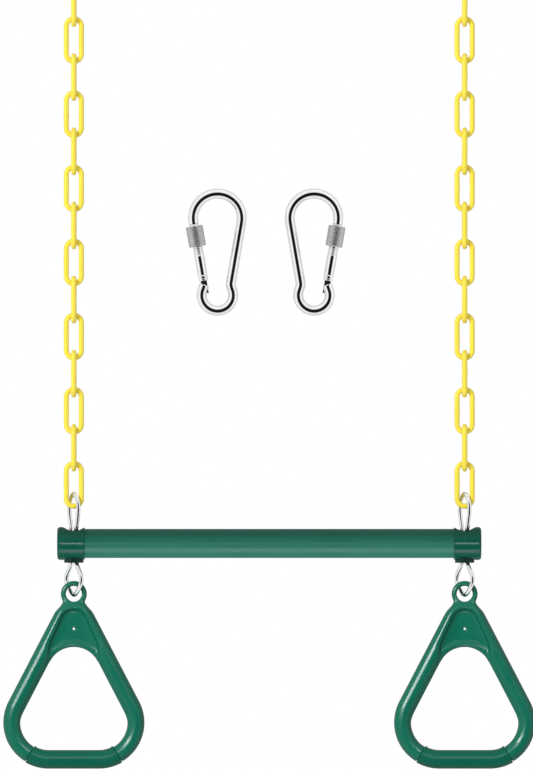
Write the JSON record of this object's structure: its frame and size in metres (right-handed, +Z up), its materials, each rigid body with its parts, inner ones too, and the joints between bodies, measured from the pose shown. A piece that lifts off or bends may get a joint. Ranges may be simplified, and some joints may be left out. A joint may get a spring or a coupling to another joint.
{
  "type": "trapeze swing bar with gym rings",
  "caption": "Trapeze swing bar with triangular gym rings below it, hung on plastic-coated chains, with loose locking snap hooks.",
  "frame": {"origin": "midway between the two hanging points, which are the insides of the two chains' top links", "axes": "+X along the bar to the right, -Y to the front, +Z up"},
  "size_m": [0.58, 0.036, 0.8611],
  "materials": {
    "bar_coat": "satin dark green powder coat",
    "cap_plastic": "glossy dark green moulded plastic",
    "bush_plastic": "near-black green moulded plastic",
    "ring_plastic": "glossy green moulded plastic",
    "grip_plastic": "green soft-touch moulded grip",
    "chain_coat": "bright yellow plastic dip coat over steel wire",
    "connector_wire": "bright zinc-plated steel wire",
    "hook_steel": "bright plated steel",
    "spring_steel": "plain spring steel",
    "sleeve_steel": "fine diamond knurl, matte grey"
  },
  "bodies": {
    "hangers": {"chain_left_link_01": "chain_coat", "chain_right_link_01": "chain_coat", "hook_left_frame": "hook_steel", "hook_left_gate_pin": "hook_steel", "hook_right_frame": "hook_steel", "hook_right_gate_pin": "hook_steel"},
    "left_link_02": {"chain_left_link_02": "chain_coat"},
    "left_link_03": {"chain_left_link_03": "chain_coat"},
    "left_link_04": {"chain_left_link_04": "chain_coat"},
    "left_link_05": {"chain_left_link_05": "chain_coat"},
    "left_link_06": {"chain_left_link_06": "chain_coat"},
    "left_link_07": {"chain_left_link_07": "chain_coat"},
    "left_link_08": {"chain_left_link_08": "chain_coat"},
    "left_link_09": {"chain_left_link_09": "chain_coat"},
    "left_link_10": {"chain_left_link_10": "chain_coat"},
    "left_link_11": {"chain_left_link_11": "chain_coat"},
    "left_link_12": {"chain_left_link_12": "chain_coat"},
    "left_link_13": {"chain_left_link_13": "chain_coat"},
    "left_link_14": {"chain_left_link_14": "chain_coat"},
    "right_link_02": {"chain_right_link_02": "chain_coat"},
    "right_link_03": {"chain_right_link_03": "chain_coat"},
    "right_link_04": {"chain_right_link_04": "chain_coat"},
    "right_link_05": {"chain_right_link_05": "chain_coat"},
    "right_link_06": {"chain_right_link_06": "chain_coat"},
    "right_link_07": {"chain_right_link_07": "chain_coat"},
    "right_link_08": {"chain_right_link_08": "chain_coat"},
    "right_link_09": {"chain_right_link_09": "chain_coat"},
    "right_link_10": {"chain_right_link_10": "chain_coat"},
    "right_link_11": {"chain_right_link_11": "chain_coat"},
    "right_link_12": {"chain_right_link_12": "chain_coat"},
    "right_link_13": {"chain_right_link_13": "chain_coat"},
    "right_link_14": {"chain_right_link_14": "chain_coat"},
    "bar": {"bar_tube": "bar_coat", "end_cap_left": "cap_plastic", "end_cap_right": "cap_plastic", "bush_left": "bush_plastic", "bush_right": "bush_plastic"},
    "left_connector": {"connector_left": "connector_wire"},
    "left_ring": {"ring_left": "ring_plastic", "ring_left_grip": "grip_plastic"},
    "right_connector": {"connector_right": "connector_wire"},
    "right_ring": {"ring_right": "ring_plastic", "ring_right_grip": "grip_plastic"},
    "left_hook_gate": {"hook_left_gate": "hook_steel", "hook_left_spring": "spring_steel", "hook_left_plunger": "spring_steel"},
    "left_hook_sleeve": {"hook_left_lock_sleeve": "sleeve_steel"},
    "right_hook_gate": {"hook_right_gate": "hook_steel", "hook_right_spring": "spring_steel", "hook_right_plunger": "spring_steel"},
    "right_hook_sleeve": {"hook_right_lock_sleeve": "sleeve_steel"}
  },
  "joints": [
    {"name": "left_link_02_swing", "type": "hinge", "parent": "hangers", "child": "left_link_02", "pos_m": [-0.213, 0, -0.03755], "axis": [1, 0, 0], "range_deg": [-45, 45]},
    {"name": "left_link_03_swing", "type": "hinge", "parent": "left_link_02", "child": "left_link_03", "pos_m": [-0.213, 0, -0.08395], "axis": [-1, 0, 0], "range_deg": [-45, 45]},
    {"name": "left_link_04_swing", "type": "hinge", "parent": "left_link_03", "child": "left_link_04", "pos_m": [-0.213, 0, -0.11835], "axis": [1, 0, 0], "range_deg": [-45, 45]},
    {"name": "left_link_05_swing", "type": "hinge", "parent": "left_link_04", "child": "left_link_05", "pos_m": [-0.213, 0, -0.16475], "axis": [-1, 0, 0], "range_deg": [-45, 45]},
    {"name": "left_link_06_swing", "type": "hinge", "parent": "left_link_05", "child": "left_link_06", "pos_m": [-0.213, 0, -0.19915], "axis": [1, 0, 0], "range_deg": [-45, 45]},
    {"name": "left_link_07_swing", "type": "hinge", "parent": "left_link_06", "child": "left_link_07", "pos_m": [-0.213, 0, -0.24555], "axis": [-1, 0, 0], "range_deg": [-45, 45]},
    {"name": "left_link_08_swing", "type": "hinge", "parent": "left_link_07", "child": "left_link_08", "pos_m": [-0.213, 0, -0.27995], "axis": [1, 0, 0], "range_deg": [-45, 45]},
    {"name": "left_link_09_swing", "type": "hinge", "parent": "left_link_08", "child": "left_link_09", "pos_m": [-0.213, 0, -0.32635], "axis": [-1, 0, 0], "range_deg": [-45, 45]},
    {"name": "left_link_10_swing", "type": "hinge", "parent": "left_link_09", "child": "left_link_10", "pos_m": [-0.213, 0, -0.36075], "axis": [1, 0, 0], "range_deg": [-45, 45]},
    {"name": "left_link_11_swing", "type": "hinge", "parent": "left_link_10", "child": "left_link_11", "pos_m": [-0.213, 0, -0.40715], "axis": [-1, 0, 0], "range_deg": [-45, 45]},
    {"name": "left_link_12_swing", "type": "hinge", "parent": "left_link_11", "child": "left_link_12", "pos_m": [-0.213, 0, -0.44155], "axis": [1, 0, 0], "range_deg": [-45, 45]},
    {"name": "left_link_13_swing", "type": "hinge", "parent": "left_link_12", "child": "left_link_13", "pos_m": [-0.213, 0, -0.48795], "axis": [-1, 0, 0], "range_deg": [-45, 45]},
    {"name": "left_link_14_swing", "type": "hinge", "parent": "left_link_13", "child": "left_link_14", "pos_m": [-0.213, 0, -0.52235], "axis": [1, 0, 0], "range_deg": [-45, 45]},
    {"name": "right_link_02_swing", "type": "hinge", "parent": "hangers", "child": "right_link_02", "pos_m": [0.213, 0, -0.03755], "axis": [1, 0, 0], "range_deg": [-45, 45]},
    {"name": "right_link_03_swing", "type": "hinge", "parent": "right_link_02", "child": "right_link_03", "pos_m": [0.213, 0, -0.08395], "axis": [-1, 0, 0], "range_deg": [-45, 45]},
    {"name": "right_link_04_swing", "type": "hinge", "parent": "right_link_03", "child": "right_link_04", "pos_m": [0.213, 0, -0.11835], "axis": [1, 0, 0], "range_deg": [-45, 45]},
    {"name": "right_link_05_swing", "type": "hinge", "parent": "right_link_04", "child": "right_link_05", "pos_m": [0.213, 0, -0.16475], "axis": [-1, 0, 0], "range_deg": [-45, 45]},
    {"name": "right_link_06_swing", "type": "hinge", "parent": "right_link_05", "child": "right_link_06", "pos_m": [0.213, 0, -0.19915], "axis": [1, 0, 0], "range_deg": [-45, 45]},
    {"name": "right_link_07_swing", "type": "hinge", "parent": "right_link_06", "child": "right_link_07", "pos_m": [0.213, 0, -0.24555], "axis": [-1, 0, 0], "range_deg": [-45, 45]},
    {"name": "right_link_08_swing", "type": "hinge", "parent": "right_link_07", "child": "right_link_08", "pos_m": [0.213, 0, -0.27995], "axis": [1, 0, 0], "range_deg": [-45, 45]},
    {"name": "right_link_09_swing", "type": "hinge", "parent": "right_link_08", "child": "right_link_09", "pos_m": [0.213, 0, -0.32635], "axis": [-1, 0, 0], "range_deg": [-45, 45]},
    {"name": "right_link_10_swing", "type": "hinge", "parent": "right_link_09", "child": "right_link_10", "pos_m": [0.213, 0, -0.36075], "axis": [1, 0, 0], "range_deg": [-45, 45]},
    {"name": "right_link_11_swing", "type": "hinge", "parent": "right_link_10", "child": "right_link_11", "pos_m": [0.213, 0, -0.40715], "axis": [-1, 0, 0], "range_deg": [-45, 45]},
    {"name": "right_link_12_swing", "type": "hinge", "parent": "right_link_11", "child": "right_link_12", "pos_m": [0.213, 0, -0.44155], "axis": [1, 0, 0], "range_deg": [-45, 45]},
    {"name": "right_link_13_swing", "type": "hinge", "parent": "right_link_12", "child": "right_link_13", "pos_m": [0.213, 0, -0.48795], "axis": [-1, 0, 0], "range_deg": [-45, 45]},
    {"name": "right_link_14_swing", "type": "hinge", "parent": "right_link_13", "child": "right_link_14", "pos_m": [0.213, 0, -0.52235], "axis": [1, 0, 0], "range_deg": [-45, 45]},
    {"name": "bar_swing", "type": "hinge", "parent": "left_link_14", "child": "bar", "pos_m": [-0.213, 0, -0.56875], "axis": [1, 0, 0], "range_deg": [-20, 20]},
    {"name": "left_connector_swivel", "type": "hinge", "parent": "bar", "child": "left_connector", "pos_m": [-0.213, 0, -0.6095], "axis": [0, 0, -1], "range_deg": [0, 70]},
    {"name": "left_ring_swing", "type": "hinge", "parent": "left_connector", "child": "left_ring", "pos_m": [-0.213, 0, -0.65317], "axis": [1, 0, 0], "range_deg": [-40, 40]},
    {"name": "right_connector_swivel", "type": "hinge", "parent": "bar", "child": "right_connector", "pos_m": [0.213, 0, -0.6095], "axis": [0, 0, -1], "range_deg": [0, 70]},
    {"name": "right_ring_swing", "type": "hinge", "parent": "right_connector", "child": "right_ring", "pos_m": [0.213, 0, -0.65317], "axis": [1, 0, 0], "range_deg": [-40, 40]},
    {"name": "left_hook_gate_open", "type": "hinge", "parent": "hangers", "child": "left_hook_gate", "pos_m": [-0.07163, 0, -0.31852], "axis": [0, 1, 0], "range_deg": [0, 30], "stiffness_Nm_per_rad": 0.05, "springref_deg": -22.92},
    {"name": "left_hook_sleeve_travel", "type": "slide", "parent": "left_hook_gate", "child": "left_hook_sleeve", "axis": [-0.1702, 0, 0.9854], "range_m": [-0.008, 0.008]},
    {"name": "right_hook_gate_open", "type": "hinge", "parent": "hangers", "child": "right_hook_gate", "pos_m": [0.06393, 0, -0.31852], "axis": [0, -1, 0], "range_deg": [0, 30], "stiffness_Nm_per_rad": 0.05, "springref_deg": -22.92},
    {"name": "right_hook_sleeve_travel", "type": "slide", "parent": "right_hook_gate", "child": "right_hook_sleeve", "axis": [0.1702, 0, 0.9854], "range_m": [-0.008, 0.008]}
  ],
  "couplings": [
    {"joint": "right_link_02_swing", "follows": "left_link_02_swing", "ratio": 1},
    {"joint": "right_link_03_swing", "follows": "left_link_03_swing", "ratio": 1},
    {"joint": "right_link_04_swing", "follows": "left_link_04_swing", "ratio": 1},
    {"joint": "right_link_05_swing", "follows": "left_link_05_swing", "ratio": 1},
    {"joint": "right_link_06_swing", "follows": "left_link_06_swing", "ratio": 1},
    {"joint": "right_link_07_swing", "follows": "left_link_07_swing", "ratio": 1},
    {"joint": "right_link_08_swing", "follows": "left_link_08_swing", "ratio": 1},
    {"joint": "right_link_09_swing", "follows": "left_link_09_swing", "ratio": 1},
    {"joint": "right_link_10_swing", "follows": "left_link_10_swing", "ratio": 1},
    {"joint": "right_link_11_swing", "follows": "left_link_11_swing", "ratio": 1},
    {"joint": "right_link_12_swing", "follows": "left_link_12_swing", "ratio": 1},
    {"joint": "right_link_13_swing", "follows": "left_link_13_swing", "ratio": 1},
    {"joint": "right_link_14_swing", "follows": "left_link_14_swing", "ratio": 1}
  ]
}
